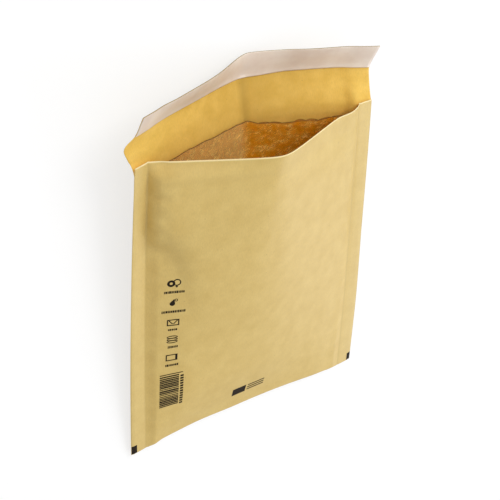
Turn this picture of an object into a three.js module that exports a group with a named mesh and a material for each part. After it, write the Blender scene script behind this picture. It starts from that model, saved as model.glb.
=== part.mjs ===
// A padded postal envelope, pinched open and lying on its back.
//
// It is built as the real one is: one kraft paper blank, folded once across the bottom and glued down
// both sides, with a sheet of bubble film folded inside it. The flap is the end of the blank and carries
// a band of adhesive under a release strip. Every piece is a flat slab in the blank's own coordinates,
// bent by one function, so whatever lies on or in the paper follows it.
//
// Millimetres. +X runs across the envelope, +Y from the bottom fold to the mouth, and +Z is up, out of
// the front panel.
import * as THREE from "three";

// Sizes of the blank
const envelopeWidth = 240; // over both side seams
const pouchDepth = 275; // bottom fold to mouth
const flapLength = 50;
const seamWidth = 14; // glued margin down each side
const paperThickness = 0.15;

// Bubble lining
const liningThickness = 3.1; // over the bubbles
const crushedThickness = 0.1; // where the side seams squeeze it flat
const liningClearance = 0.25; // paper to lining
const seamFilmGap = 0.2; // between the two layers of film in a side seam
const foldInnerRadius = 0.5; // of the lining's own fold, at the bottom
const paddedEdge = 9; // over which the padding rises from a seam to its full thickness
const frontLiningDrop = 21; // lining's edge below the mouth on the front panel
const backLiningDrop = 10; // the same on the back panel

// Closure on the flap
const stripWidth = 23; // release strip, measured from the flap's free edge
const stripThickness = 0.1;
const adhesiveWidth = 13;
const adhesiveThickness = 0.1;
const adhesiveMargin = 5; // from the strip's free edge to the adhesive
const closureClearance = 0.2; // paper to adhesive, and adhesive to strip

// How far the mouth is pinched open
const frontOpening = 42; // front panel's crest above the seams, at the mouth
const backOpening = 37; // back panel's keel below the seam edges, at the mouth
const frontCrestOffset = -8; // crest and keel from the envelope's middle
const backKeelOffset = 10;
const crestRadius = 11; // half the width over which each panel turns at its crest
const frontGrowth = 1.15; // how the opening grows from the fold to the mouth
const backGrowth = 1.5;
const mouthDraw = 7.7; // by which opening the mouth draws each side seam in
const bottomBow = 7.5; // by which the bottom fold is drawn up between its corners
const bottomBowOffset = -12; // its highest point from the envelope's middle

// How the flap stands: degrees, positive away from the front panel
const flapLeanLeft = -6;
const flapLeanRight = 20;
const stripLeanLeft = -34;
const stripLeanRight = -25;
const stripLeanAtKeel = 22; // by which the crease holds the strip back
const stripBendRadius = 3;
const flapSpread = 1.2; // by which the flap's free corners spring back outwards
const cornerFlare = 9; // outward curl of the flap's left edge near the mouth

const halfWidth = envelopeWidth / 2;
const padHalf = halfWidth - seamWidth; // from the middle to a seam's inner line
const wallStep = paperThickness / 2 + liningClearance; // paper's middle to the lining
const paddedHalf = wallStep + liningThickness + foldInnerRadius; // half the pouch when shut
const seamHalf = wallStep + crushedThickness + seamFilmGap / 2; // the same in a side seam
const radians = THREE.MathUtils.degToRad;
const smooth = (x, from, to) => THREE.MathUtils.smoothstep(x, from, to);

// 1 between the seams and 0 on them.
const padded = (s) => 1 - smooth(Math.abs(s), padHalf - paddedEdge, padHalf);

// The smaller of a and b, rounded where they cross.
const softMin = (a, b, round) => (a + b - Math.hypot(a - b, round)) / 2;

// A ramp that is 0 before start and then rises by x - start, rounded at the corner.
const softRamp = (x, start, round) => (x - start + Math.hypot(x - start, round)) / 2;

// A tent over -half to half: 0 at both feet and 1 at its crest, which is rounded.
function tent(s, half, crest, round) {
  const left = (half + s) / (half + crest);
  const right = (half - s) / (half - crest);
  const foot = softMin(0, (2 * half) / (half - crest), round);
  const top = softMin(1, 1, round);
  return (softMin(left, right, round) - foot) / (top - foot);
}

// The crest is sharp at the mouth and dies out into an even swell at the bottom.
const crestRound = (up) => THREE.MathUtils.lerp(1.1, (2 * crestRadius) / halfWidth, up);

// Where the middle of the paper is, for s across the blank from its middle and q along it: q is 0 on the
// bottom fold, negative up the front panel and positive up the back panel and on along the flap.
function paperAt(s, q) {
  const back = q > 0;
  const along = Math.min(Math.abs(q), pouchDepth);
  const up = along / pouchDepth;
  const onFlap = Math.max(q - pouchDepth, 0);

  // The fold is a half turn round the padding, and the panels run up from its ends.
  const radius = THREE.MathUtils.lerp(seamHalf, paddedHalf, padded(s));
  const turn = Math.min(along / radius, Math.PI / 2);
  const run = (length) => radius + length - (radius * Math.PI) / 2;
  const climb = along < (radius * Math.PI) / 2 ? radius * (1 - Math.cos(turn)) : run(along);
  const bow = bottomBow * Math.max(0, 1 - ((s - bottomBowOffset) / padHalf) ** 2);
  const y = bow + (climb * (pouchDepth - bow)) / run(pouchDepth);

  // Above the lining the paper has nothing to hold it out.
  const edge = pouchDepth - (back ? backLiningDrop : frontLiningDrop);
  const backed = 1 - 0.8 * smooth(along, edge - 25, edge + 8);
  const half = THREE.MathUtils.lerp(seamHalf, radius, backed) * Math.sin(turn);

  // Both panels follow the back panel's slope in the seams, and part at the seams' inner lines.
  const keel = (x) => backOpening * tent(x, halfWidth, backKeelOffset, crestRound(up));
  const seamKeel = THREE.MathUtils.lerp(keel(-padHalf), keel(padHalf), (s / padHalf + 1) / 2);
  const inSeam = Math.abs(s) > padHalf;
  const crest = inSeam ? 0 : tent(s, padHalf, frontCrestOffset, crestRound(up));
  const low = (back || inSeam ? keel(s) : seamKeel) * up ** backGrowth;
  const high = back ? 0 : frontOpening * crest * up ** frontGrowth;
  const z = (back ? -half : half) - low + high;

  // Opening the mouth draws the seams together.
  const x = s * (1 - (mouthDraw * up ** 2) / halfWidth);
  if (onFlap === 0) return new THREE.Vector3(x, y, z);
  return flapAt(s, onFlap, new THREE.Vector3(x, y, z));
}

// The flap runs on from the mouth line, leaning back, and its strip leans forward again.
function flapAt(s, length, foot) {
  const across = (s / halfWidth + 1) / 2;
  const lean = radians(THREE.MathUtils.lerp(flapLeanLeft, flapLeanRight, across));
  const crease = Math.exp(-(((s - backKeelOffset) / 30) ** 2));
  const stripLean = radians(
    THREE.MathUtils.lerp(stripLeanLeft, stripLeanRight, across) + stripLeanAtKeel * crease,
  );
  const score = flapLength - stripWidth;
  const rest = softRamp(0, score, stripBendRadius);
  const onStrip = softRamp(length, score, stripBendRadius) - rest;
  const plain = length - onStrip;
  const spread = (flapSpread * length * s) / (flapLength * halfWidth);
  const curl = Math.sin(Math.PI * Math.min(length / score, 1)) ** 2;
  const flare = cornerFlare * curl * smooth(-s, halfWidth - 30, halfWidth);
  return new THREE.Vector3(
    foot.x + spread - flare,
    foot.y + plain * Math.cos(lean) + onStrip * Math.cos(stripLean),
    foot.z - plain * Math.sin(lean) - onStrip * Math.sin(stripLean),
  );
}

// A point at depth w inside the middle of the paper.
function insideAt(s, q, w) {
  const step = 0.05;
  const across = paperAt(s + step, q).sub(paperAt(s - step, q));
  const along = paperAt(s, q + step).sub(paperAt(s, q - step));
  const inward = across.cross(along).normalize();
  return paperAt(s, q).addScaledVector(inward, w);
}

// Stations from a list of marks, with counts[i] even steps between marks i and i + 1.
function stations(marks, counts) {
  const list = [marks[0]];
  counts.forEach((count, i) => {
    for (let k = 1; k <= count; k++) {
      list.push(THREE.MathUtils.lerp(marks[i], marks[i + 1], k / count));
    }
  });
  return list;
}

// A flat slab over the given stations, from depth near(s) to depth far(s), bent as the paper is. Both
// faces are split along the same diagonals, so that slabs stacked on one grid stay apart.
function bentSlab(across, along, near, far) {
  const face = (depth) => along.flatMap((q) => across.map((s) => insideAt(s, q, depth(s))));
  const outside = (i, j) => j * across.length + i;
  const inside = (i, j) => outside(i, j) + across.length * along.length;
  const index = [];
  const quad = (a, b, c, d) => index.push(a, b, c, a, c, d);
  const iEnd = across.length - 1;
  const jEnd = along.length - 1;
  for (let j = 0; j < jEnd; j++) {
    for (let i = 0; i < iEnd; i++) {
      quad(outside(i, j), outside(i, j + 1), outside(i + 1, j + 1), outside(i + 1, j));
      quad(inside(i, j), inside(i + 1, j), inside(i + 1, j + 1), inside(i, j + 1));
    }
    quad(outside(0, j), inside(0, j), inside(0, j + 1), outside(0, j + 1));
    quad(outside(iEnd, j), outside(iEnd, j + 1), inside(iEnd, j + 1), inside(iEnd, j));
  }
  for (let i = 0; i < iEnd; i++) {
    quad(outside(i, 0), outside(i + 1, 0), inside(i + 1, 0), inside(i, 0));
    quad(outside(i, jEnd), inside(i, jEnd), inside(i + 1, jEnd), outside(i + 1, jEnd));
  }
  const slab = new THREE.BufferGeometry().setFromPoints([...face(near), ...face(far)]);
  slab.setIndex(index);
  slab.computeVertexNormals();
  return slab;
}

function piece(name, geometry, color, roughness) {
  const material = new THREE.MeshStandardMaterial({ color, roughness, metalness: 0 });
  const mesh = new THREE.Mesh(geometry, material);
  mesh.name = name;
  return mesh;
}

const foldRun = (paddedHalf * Math.PI) / 2; // paper used by half of the bottom fold
const stepFoot = padHalf - paddedEdge;
const acrossPaper = stations(
  [-halfWidth, -padHalf, -stepFoot, -2 * crestRadius, 2 * crestRadius, stepFoot, padHalf, halfWidth],
  [1, 3, 5, 6, 5, 3, 1],
);
const frontEdge = pouchDepth - frontLiningDrop;
const backEdge = pouchDepth - backLiningDrop;
const flapEnd = pouchDepth + flapLength;
const score = flapEnd - stripWidth; // where the flap bends at the strip's inner edge
const adhesiveEnd = flapEnd - adhesiveMargin;
const adhesiveStart = adhesiveEnd - adhesiveWidth;

// Paper, adhesive and release strip share these stations.
const alongStrip = stations([score, adhesiveStart, adhesiveEnd, flapEnd], [1, 2, 1]);

function kraftEnvelope() {
  const pouch = stations([-pouchDepth, -frontEdge, -foldRun, foldRun, backEdge, pouchDepth], [2, 13, 4, 13, 1]);
  const flap = stations([pouchDepth, score - stripBendRadius, score], [3, 1]);
  const along = [...pouch, ...flap.slice(1), ...alongStrip.slice(1)];
  const half = paperThickness / 2;
  const geometry = bentSlab(acrossPaper, along, () => -half, () => half);
  return piece("kraft_envelope", geometry, 0xdcc184, 0.85);
}

function bubbleLining() {
  const trimmed = halfWidth - 1;
  const across = acrossPaper.map((s) => THREE.MathUtils.clamp(s, -trimmed, trimmed));
  const along = stations([-frontEdge, -foldRun, foldRun, backEdge], [13, 4, 13]);
  const thickness = (s) => THREE.MathUtils.lerp(crushedThickness, liningThickness, padded(s));
  const geometry = bentSlab(across, along, () => wallStep, (s) => wallStep + thickness(s));
  return piece("bubble_lining", geometry, 0xe9dcc0, 0.2);
}

function adhesiveStrip() {
  const along = alongStrip.filter((q) => q >= adhesiveStart && q <= adhesiveEnd);
  const near = paperThickness / 2 + closureClearance;
  const geometry = bentSlab(acrossPaper, along, () => near, () => near + adhesiveThickness);
  return piece("adhesive_strip", geometry, 0xe6e0c4, 0.3);
}

function releaseStrip() {
  const near = paperThickness / 2 + 2 * closureClearance + adhesiveThickness;
  const geometry = bentSlab(acrossPaper, alongStrip, () => near, () => near + stripThickness);
  return piece("release_strip", geometry, 0xe3d6cb, 0.45);
}

// Turns the envelope about X until its bottom and its keel stand on the same floor.
function settle(body) {
  const points = body.children.flatMap((mesh) => {
    const place = mesh.geometry.getAttribute("position");
    return Array.from({ length: place.count }, (_, i) => new THREE.Vector3().fromBufferAttribute(place, i));
  });
  const lowest = (list) => list.reduce((a, b) => (a.z < b.z ? a : b));
  let tilt = 0;
  for (let round = 0; round < 8; round++) {
    const turned = points.map((p) => p.clone().applyAxisAngle(new THREE.Vector3(1, 0, 0), tilt));
    const base = lowest(turned.filter((p) => p.y < pouchDepth / 4));
    const keel = lowest(turned.filter((p) => p.y > pouchDepth / 2));
    tilt -= Math.atan2(keel.z - base.z, keel.y - base.y);
  }
  body.rotation.x = tilt;
}

const body = new THREE.Group();
body.add(kraftEnvelope(), bubbleLining(), adhesiveStrip(), releaseStrip());
settle(body);

// The origin is on the floor, under the middle of the envelope's outline.
const envelope = new THREE.Group();
envelope.add(body);
const bounds = new THREE.Box3().setFromObject(envelope, true);
const middle = bounds.getCenter(new THREE.Vector3());
body.position.set(-middle.x, -middle.y, -bounds.min.z);

export default envelope;
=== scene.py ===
# %% [markdown]
# # A padded envelope, pinched open
#
# The object is a mailer: one blank of kraft paper folded over a sheet of bubble film, with a
# peel-and-seal flap. Almost everything on it is a thin sheet, so the lesson is about sheets. Each one
# starts as a flat grid, drawn as it would lie on the cutting table, and a single function bends them
# all. That way the film stays inside the paper and the print stays on it.

# %% Load the frame
import math
import random

import bmesh
import bpy
import numpy as np
from mathutils import Matrix, Vector, noise


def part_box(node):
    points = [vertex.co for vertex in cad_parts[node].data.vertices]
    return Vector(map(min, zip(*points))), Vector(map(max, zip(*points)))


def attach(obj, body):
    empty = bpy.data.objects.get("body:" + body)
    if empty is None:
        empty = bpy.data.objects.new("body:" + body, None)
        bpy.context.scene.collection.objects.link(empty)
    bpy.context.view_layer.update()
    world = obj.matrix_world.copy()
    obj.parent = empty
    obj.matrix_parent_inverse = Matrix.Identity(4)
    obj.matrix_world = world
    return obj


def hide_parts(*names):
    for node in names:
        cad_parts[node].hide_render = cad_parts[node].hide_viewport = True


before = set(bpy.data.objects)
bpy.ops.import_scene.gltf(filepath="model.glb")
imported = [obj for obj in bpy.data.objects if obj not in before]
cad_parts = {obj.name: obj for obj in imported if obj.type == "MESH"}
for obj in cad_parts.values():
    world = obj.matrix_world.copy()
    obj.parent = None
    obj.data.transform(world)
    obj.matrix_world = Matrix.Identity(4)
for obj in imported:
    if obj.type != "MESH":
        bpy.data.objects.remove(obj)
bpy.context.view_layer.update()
print("CAD nodes:", sorted(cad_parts))

# %% [markdown]
# ## Sizes
#
# Blender works in metres, so a millimetre gets a name. The sizes are those of the CAD model: the blank,
# the lining, the closure, and how far the mouth is pinched open.

# %% Sizes of the envelope
MM = 0.001
WIDTH = 240 * MM
DEPTH = 275 * MM  # bottom fold to mouth
FLAP = 50 * MM
SEAM = 14 * MM
PAPER = 0.15 * MM
FILM = 3.1 * MM  # over the bubbles
CRUSHED = 0.1 * MM
CLEARANCE = 0.25 * MM
SEAM_GAP = 0.2 * MM
FOLD_RADIUS = 0.5 * MM
PADDED_EDGE = 9 * MM
FRONT_DROP = 21 * MM  # lining's edge below the mouth
BACK_DROP = 10 * MM
STRIP = 23 * MM
ADHESIVE = 13 * MM
ADHESIVE_MARGIN = 5 * MM

FRONT_OPENING = 42 * MM
BACK_OPENING = 37 * MM
FRONT_CREST = -8 * MM
BACK_KEEL = 10 * MM
CREST_RADIUS = 11 * MM
FRONT_GROWTH = 1.15
BACK_GROWTH = 1.5
MOUTH_DRAW = 7.7 * MM  # by which each seam is drawn in at the mouth
BOTTOM_BOW = 7.5 * MM
BOTTOM_BOW_CENTRE = -12 * MM

FLAP_LEAN = (-6, 20)  # degrees away from the front panel, at the left and right ends
STRIP_LEAN = (-34, -25)
KEEL_LEAN = 22
STRIP_BEND = 3 * MM
FLAP_SPREAD = 1.2 * MM
CORNER_FLARE = 9 * MM
CORNER_REACH = 30 * MM
KEEL_REACH = 30 * MM
THINNED = 0.8  # share of the padding's thickness that is gone past the film's edges
BOTTOM_ROUND = 1.1  # the crest's and keel's rounding at the bottom fold, as a share of the width

HALF = WIDTH / 2
PAD_HALF = HALF - SEAM
WALL = PAPER / 2 + CLEARANCE
PADDED_HALF = WALL + FILM + FOLD_RADIUS
SEAM_HALF = WALL + CRUSHED + SEAM_GAP / 2
FLAP_END = DEPTH + FLAP
SCORE = FLAP_END - STRIP
FRONT_EDGE = DEPTH - FRONT_DROP
BACK_EDGE = DEPTH - BACK_DROP
print(f"blank {WIDTH / MM:.0f} x {(DEPTH + FLAP_END) / MM:.0f} mm, seams {SEAM / MM:.0f} mm")

# %% [markdown]
# ## Bending the blank
#
# A point of the blank has two coordinates: `s` across it from its middle, and `q` along it, with 0 on
# the bottom fold, negative values up the front panel and positive ones up the back panel and the flap.
# Lattices, hooks or a cloth simulation could bend the sheet too. A plain function of `s` and `q` is
# exact, quick, the same on every run, and it is the one that the CAD model uses.

# %% Small helpers for ramps
def smooth(x, start, end):
    """0 before start, 1 after end, and an even ramp between them."""
    t = np.clip((x - start) / (end - start), 0, 1)
    return t * t * (3 - 2 * t)


def fade(x, start, end):
    """1 before start and 0 after end."""
    return 1 - smooth(x, start, end)


def bell(x, width):
    """1 at 0, falling evenly to both sides."""
    return np.exp(-((x / width) ** 2))


def mix(a, b, t):
    return a + (b - a) * t


def soft_min(a, b, round_off):
    """The lesser of two values, with the corner between them rounded off."""
    return (a + b - np.hypot(a - b, round_off)) / 2


def soft_ramp(x, start, round_off):
    """0 before start and x - start after it, with the corner rounded off."""
    return (x - start + np.hypot(x - start, round_off)) / 2


def padded(s):
    """1 over the padding and 0 in the side seams."""
    return fade(np.abs(s), PAD_HALF - PADDED_EDGE, PAD_HALF)


def tent(s, half, crest, round_off):
    """0 at both feet and 1 at a rounded crest."""
    left = (half + s) / (half + crest)
    right = (half - s) / (half - crest)
    foot = soft_min(0, 2 * half / (half - crest), round_off)
    top = soft_min(1, 1, round_off)
    return (soft_min(left, right, round_off) - foot) / (top - foot)


# %% The pouch and the flap
def paper_at(s, q):
    """Where the middle of the paper is, in the envelope's own axes: across, up and out of the front."""
    back = q > 0
    along = np.minimum(np.abs(q), DEPTH)
    up = along / DEPTH
    radius = mix(SEAM_HALF, PADDED_HALF, padded(s))
    quarter = radius * math.pi / 2
    turn = np.minimum(along / radius, math.pi / 2)
    climb = np.where(along < quarter, radius * (1 - np.cos(turn)), radius + along - quarter)
    bow = BOTTOM_BOW * np.maximum(0, 1 - ((s - BOTTOM_BOW_CENTRE) / PAD_HALF) ** 2)
    y = bow + climb * (DEPTH - bow) / (radius + DEPTH - quarter)

    edge = np.where(back, BACK_EDGE, FRONT_EDGE)
    backed = 1 - THINNED * smooth(along, edge - 25 * MM, edge + 8 * MM)
    half = mix(SEAM_HALF, radius, backed) * np.sin(turn)

    crest_round = mix(BOTTOM_ROUND, 2 * CREST_RADIUS / HALF, up)
    keel = tent(s, HALF, BACK_KEEL, crest_round)
    seam_left = tent(-PAD_HALF, HALF, BACK_KEEL, crest_round)
    seam_right = tent(PAD_HALF, HALF, BACK_KEEL, crest_round)
    seam_keel = mix(seam_left, seam_right, (s / PAD_HALF + 1) / 2)
    in_seam = np.abs(s) > PAD_HALF
    crest = np.where(in_seam | back, 0, tent(s, PAD_HALF, FRONT_CREST, crest_round))
    low = BACK_OPENING * np.where(back | in_seam, keel, seam_keel) * up**BACK_GROWTH
    high = FRONT_OPENING * crest * up**FRONT_GROWTH
    z = np.where(back, -half, half) - low + high
    x = s * (1 - MOUTH_DRAW * up**2 / HALF)
    return flap_at(s, q, np.stack([x, y, z], -1))


def flap_at(s, q, foot):
    """The flap leans back from the mouth line, and its strip leans forward again."""
    length = np.maximum(q - DEPTH, 0)
    across = (s / HALF + 1) / 2
    lean = np.radians(mix(*FLAP_LEAN, across))
    crease = bell(s - BACK_KEEL, KEEL_REACH)
    strip_lean = np.radians(mix(*STRIP_LEAN, across) + KEEL_LEAN * crease)
    plain_length = FLAP - STRIP
    on_strip = soft_ramp(length, plain_length, STRIP_BEND) - soft_ramp(0, plain_length, STRIP_BEND)
    plain = length - on_strip
    spread = FLAP_SPREAD * length * s / (FLAP * HALF)
    curl = np.sin(math.pi * np.minimum(length / plain_length, 1)) ** 2
    flare = CORNER_FLARE * curl * smooth(-s, HALF - CORNER_REACH, HALF)
    step = np.stack(
        [
            spread - flare,
            plain * np.cos(lean) + on_strip * np.cos(strip_lean),
            -plain * np.sin(lean) - on_strip * np.sin(strip_lean),
        ],
        -1,
    )
    return foot + np.where(length[..., None] > 0, step, 0)


# %% [markdown]
# ## Laying it down
#
# The envelope lies on its back, on its bottom fold and on the keel of its mouth. A few rounds of turning
# it about X until both are level find that angle. Its outline then goes where the CAD model's is.

# %% Turn it until both ends touch the floor
def lie_down():
    s, q = np.meshgrid(np.linspace(-HALF, HALF, 241), np.linspace(-DEPTH, FLAP_END, 601))
    points = paper_at(s, q).reshape(-1, 3)
    low_end = points[:, 1] < DEPTH / 4
    high_end = points[:, 1] > DEPTH / 2
    angle = 0.0
    for _ in range(8):
        turned = points @ np.array(Matrix.Rotation(angle, 3, "X")).T
        base = turned[low_end][turned[low_end][:, 2].argmin()]
        keel = turned[high_end][turned[high_end][:, 2].argmin()]
        angle -= math.atan2(keel[2] - base[2], keel[1] - base[1])
    turn = np.array(Matrix.Rotation(angle, 3, "X"))
    turned = points @ turn.T
    low, high = (np.array(corner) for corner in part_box("kraft_envelope"))
    middle = (low + high) / 2
    shift = middle - (turned.min(0) + turned.max(0)) / 2
    shift[2] = low[2] + PAPER / 2 - turned[:, 2].min()
    return angle, turn, shift


LIE_ANGLE, LIE_TURN, LIE_SHIFT = lie_down()
print(f"it lies {math.degrees(LIE_ANGLE):.2f} degrees about X, shifted {np.round(LIE_SHIFT / MM, 1)} mm")

# %% [markdown]
# ## The camera
#
# The photograph looks down into the mouth from the front left. The camera keeps that place against the
# envelope, so it is set in the envelope's own axes first and then laid down with it.

# %% Camera at the photograph's angle
LENS = 75.9  # mm, on Blender's 36 mm sensor
CAMERA_TURN = math.radians(37.23)  # to the left of the front
CAMERA_RISE = math.radians(33.05)
CAMERA_ROLL = math.radians(3.17)
CAMERA_DISTANCE = 880.8 * MM
CAMERA_AIM = (3.16 * MM, 25.17 * MM)  # the pouch's middle, right of and below the picture's
POUCH_MIDDLE = Vector((0, DEPTH / 2, 0))

look = Vector(
    (
        math.sin(CAMERA_TURN) * math.cos(CAMERA_RISE),
        -math.sin(CAMERA_RISE),
        -math.cos(CAMERA_TURN) * math.cos(CAMERA_RISE),
    )
)
level = Vector((math.cos(CAMERA_TURN), 0, math.sin(CAMERA_TURN)))
upright = level.cross(look)
right = level * math.cos(CAMERA_ROLL) + upright * math.sin(CAMERA_ROLL)
above = upright * math.cos(CAMERA_ROLL) - level * math.sin(CAMERA_ROLL)
place = POUCH_MIDDLE - right * CAMERA_AIM[0] + above * CAMERA_AIM[1] - look * CAMERA_DISTANCE
axes = Matrix((right, above, -look)).transposed()

scene = bpy.context.scene
camera_data = bpy.data.cameras.new("photo_camera")
camera_data.lens = LENS
camera_data.clip_start = 0.01
camera = bpy.data.objects.new("photo_camera", camera_data)
scene.collection.objects.link(camera)
lie_matrix = Matrix(LIE_TURN.tolist())
laid_place = Matrix.Translation(Vector(LIE_SHIFT) + lie_matrix @ place)
camera.matrix_world = laid_place @ (lie_matrix @ axes).to_4x4()
scene.camera = camera
print("camera at", [round(x, 3) for x in camera.matrix_world.translation])

# %% [markdown]
# ## Floor, world and lamps
#
# The floor looks white to the camera and to reflections through a share of emission, and the rest of it
# is an ordinary pale surface, so the shadow still shows. Three soft lamps stand for a photographer's
# tent: a key at the right, a fill at the left and one over the mouth.

# %% Shader helpers
def add(tree, kind, inputs=None, **settings):
    """Adds a shader node, sets it, and links or fills its inputs."""
    node = tree.nodes.new(kind)
    for name, value in settings.items():
        setattr(node, name, value)
    for name, value in (inputs or {}).items():
        if isinstance(value, bpy.types.NodeSocket):
            tree.links.new(value, node.inputs[name])
        else:
            node.inputs[name].default_value = value
    return node


def maths(tree, operation, *values):
    return add(tree, "ShaderNodeMath", dict(enumerate(values)), operation=operation).outputs[0]


def ranged(tree, value, low, high, out_low=0.0, out_high=1.0):
    """Stretches the range from low to high over the one from out_low to out_high."""
    inputs = {"Value": value, "From Min": low, "From Max": high, "To Min": out_low, "To Max": out_high}
    return add(tree, "ShaderNodeMapRange", inputs).outputs[0]


def seen_directly(tree):
    """1 for camera, glossy and transmission rays, and 0 for the light that falls on things."""
    path = add(tree, "ShaderNodeLightPath").outputs
    shiny = maths(tree, "MAXIMUM", path["Is Glossy Ray"], path["Is Transmission Ray"])
    return maths(tree, "MAXIMUM", path["Is Camera Ray"], shiny)


def mixed(tree, amount, first, second):
    return add(tree, "ShaderNodeMixShader", {0: amount, 1: first.outputs[0], 2: second.outputs[0]})


def new_material(name):
    material = bpy.data.materials.new(name)
    material.use_nodes = True
    tree = material.node_tree
    tree.nodes.clear()
    return material, tree


# %% Floor
WHITE = (1, 1, 1, 1)
PALE_GREY = (0.8, 0.8, 0.8, 1)  # the floor, for the light that falls on the envelope
FLOOR_GLOW = 0.7  # share of plain white in what the camera sees of the floor
FLOOR_HALF = 6  # metres


def mesh_from(bm, name):
    mesh = bpy.data.meshes.new(name)
    bm.to_mesh(mesh)
    bm.free()
    return mesh


def make_floor():
    material, tree = new_material("studio_floor")
    pale = add(tree, "ShaderNodeBsdfDiffuse", {"Color": PALE_GREY})
    bright = add(tree, "ShaderNodeBsdfDiffuse", {"Color": WHITE})
    white = add(tree, "ShaderNodeEmission", {"Color": WHITE, "Strength": 1.0})
    lit = mixed(tree, FLOOR_GLOW, bright, white)
    kind = mixed(tree, seen_directly(tree), pale, lit)
    add(tree, "ShaderNodeOutputMaterial", {"Surface": kind.outputs[0]})
    bm = bmesh.new()
    bmesh.ops.create_grid(bm, x_segments=1, y_segments=1, size=FLOOR_HALF)
    mesh = mesh_from(bm, "studio_floor")
    mesh.materials.append(material)
    floor = bpy.data.objects.new("studio_floor", mesh)
    scene.collection.objects.link(floor)


make_floor()
print(f"floor {2 * FLOOR_HALF} m wide")

# %% World and lamps
SKY_LEVELS = (0.36, 0.81)  # at the horizon and overhead
LAMPS = {  # place and size in metres, power in watts, colour
    "key_lamp": ((1.2, -0.75, 0.65), 1.0, 6.5, (0.97, 1.0, 1.16)),
    "fill_lamp": ((-1.2, -0.2, 1.0), 1.0, 2, (1.0, 0.93, 0.8)),
    "mouth_lamp": ((0.6, 1.1, 1.2), 0.9, 13, (1, 1, 1)),
}


def make_world():
    world = bpy.data.worlds.new("studio")
    world.use_nodes = True
    scene.world = world
    tree = world.node_tree
    tree.nodes.clear()
    sky = add(tree, "ShaderNodeTexCoord")
    height = add(tree, "ShaderNodeSeparateXYZ", {0: sky.outputs["Generated"]})
    strength = ranged(tree, height.outputs[2], 0, 1, *SKY_LEVELS)
    dim = add(tree, "ShaderNodeBackground", {"Color": WHITE, "Strength": strength})
    white = add(tree, "ShaderNodeBackground", {"Color": WHITE, "Strength": 1.0})
    kind = mixed(tree, seen_directly(tree), dim, white)
    add(tree, "ShaderNodeOutputWorld", {"Surface": kind.outputs[0]})


def make_lamp(name, place, size, power, colour):
    """A round soft lamp that looks at the envelope."""
    data = bpy.data.lights.new(name, "AREA")
    data.shape = "DISK"
    data.size = size
    data.energy = power
    data.color = colour
    lamp = bpy.data.objects.new(name, data)
    lamp.location = place
    lamp.rotation_euler = (-Vector(place)).to_track_quat("-Z", "Y").to_euler()
    scene.collection.objects.link(lamp)


make_world()
for lamp_name, lamp_settings in LAMPS.items():
    make_lamp(lamp_name, *lamp_settings)
scene.view_settings.view_transform = "Standard"
print("lamps:", ", ".join(LAMPS))

# %% [markdown]
# ## Relief in the paper
#
# Real kraft over bubble film is never even. The bubbles press through as faint dimples, the paper
# undulates between them, and beside the glued seams it gathers into short creases. All of that is a
# height over the blank, so the film under it and the print on it move with it. Bump mapping would be
# cheaper, but it wouldn't show on the edges or in the mesh.

# %% Clouds and the bubbles' print
BUBBLE_PITCH = 10.5 * MM
ROW_PITCH = BUBBLE_PITCH * math.sqrt(3) / 2


def cloud(s, q, size, seed):
    """Smooth noise from about -1 to 1, with features of the given size in mm, across and along."""
    flat = zip((s / (size[0] * MM)).ravel(), (q / (size[1] * MM)).ravel())
    values = [noise.noise((x, y, 7.3 * seed)) for x, y in flat]
    return np.array(values).reshape(s.shape)


def bubble_print(s, q):
    """1 over each bubble's middle and below 0 between them."""
    row = 2 * math.pi / BUBBLE_PITCH
    slant = row / math.sqrt(3)
    waves = np.cos(row * s - slant * q) + np.cos(2 * slant * q) + np.cos(row * s + slant * q)
    return waves / 3


# %% [markdown]
# The padding makes the larger forms. It stands up steeply beside the left seam and slopes down to the
# right one, the paper gathers beside both, and each of these is a product of ramps and bells.

# %% Forms of the padding
def gathered(s, q):
    """Creases beside the seams, strongest at the left of the mouth on the front."""
    beside = bell(PAD_HALF - 9 * MM - np.abs(s), 5.5 * MM)
    top_left = smooth(-q, 165 * MM, 205 * MM) * (s < 0)
    strength = mix(0.3, 1.0, top_left) * (q < DEPTH)
    creases = cloud(s, q, (14, 12), 3) + 0.5 * cloud(s, q, (8, 5), 4)
    return beside * strength * (creases - 0.7 * top_left)


def shoulder(s, q):
    """The front panel's padding stands up steeply beside the seams, most of all low on the panel."""
    rise = np.where(s < 0, smooth(s, -PAD_HALF, -PAD_HALF + 38 * MM), smooth(-s, -PAD_HALF, 0))
    return rise * smooth(-q, 6 * MM, 60 * MM) * fade(-q, 130 * MM, 250 * MM)


def soft_flank(s, q):
    """At the right, the padding slopes down to the seam over a longer way."""
    foot = PAD_HALF - 9 * MM
    flank = smooth(s, PAD_HALF - 36 * MM, foot) - smooth(s, foot, PAD_HALF)
    return flank * (q < 0) * fade(-q, 190 * MM, 250 * MM)


def steep_flank(s, q):
    """At the top left, the padding stands up steeply beside the seam, with two notches in it."""
    out = np.maximum(s + PAD_HALF, 0) / (9 * MM)
    rise = np.maximum(0, soft_min(out, 1 - (out - 1) / 10, 0.25) - soft_min(0, 1.1, 0.25))
    away = smooth(s, -96 * MM, -55 * MM)
    reach = smooth(-q, mix(200, 90, away) * MM, mix(222, 240, away) * MM) * fade(-q, 262 * MM, 274 * MM)
    notches = bell(q + 247 * MM, 3 * MM) + 0.8 * bell(q + 219 * MM, 3 * MM)
    dented = 1 - 0.3 * notches * fade(s, -102 * MM, -90 * MM)
    return rise * reach * dented


def bottom_corner(s, q):
    """The bottom fold is drawn up a little along its left half."""
    across = smooth(s, -PAD_HALF - 2 * MM, -88 * MM) * fade(s, -60 * MM, -12 * MM)
    return across * fade(np.abs(q), 3 * MM, 26 * MM)


def seam_line(s, q):
    """The line where the padding ends and the paper is pressed flat."""
    return bell(PAD_HALF - np.abs(s), 1.3 * MM) * (q < DEPTH)


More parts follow.
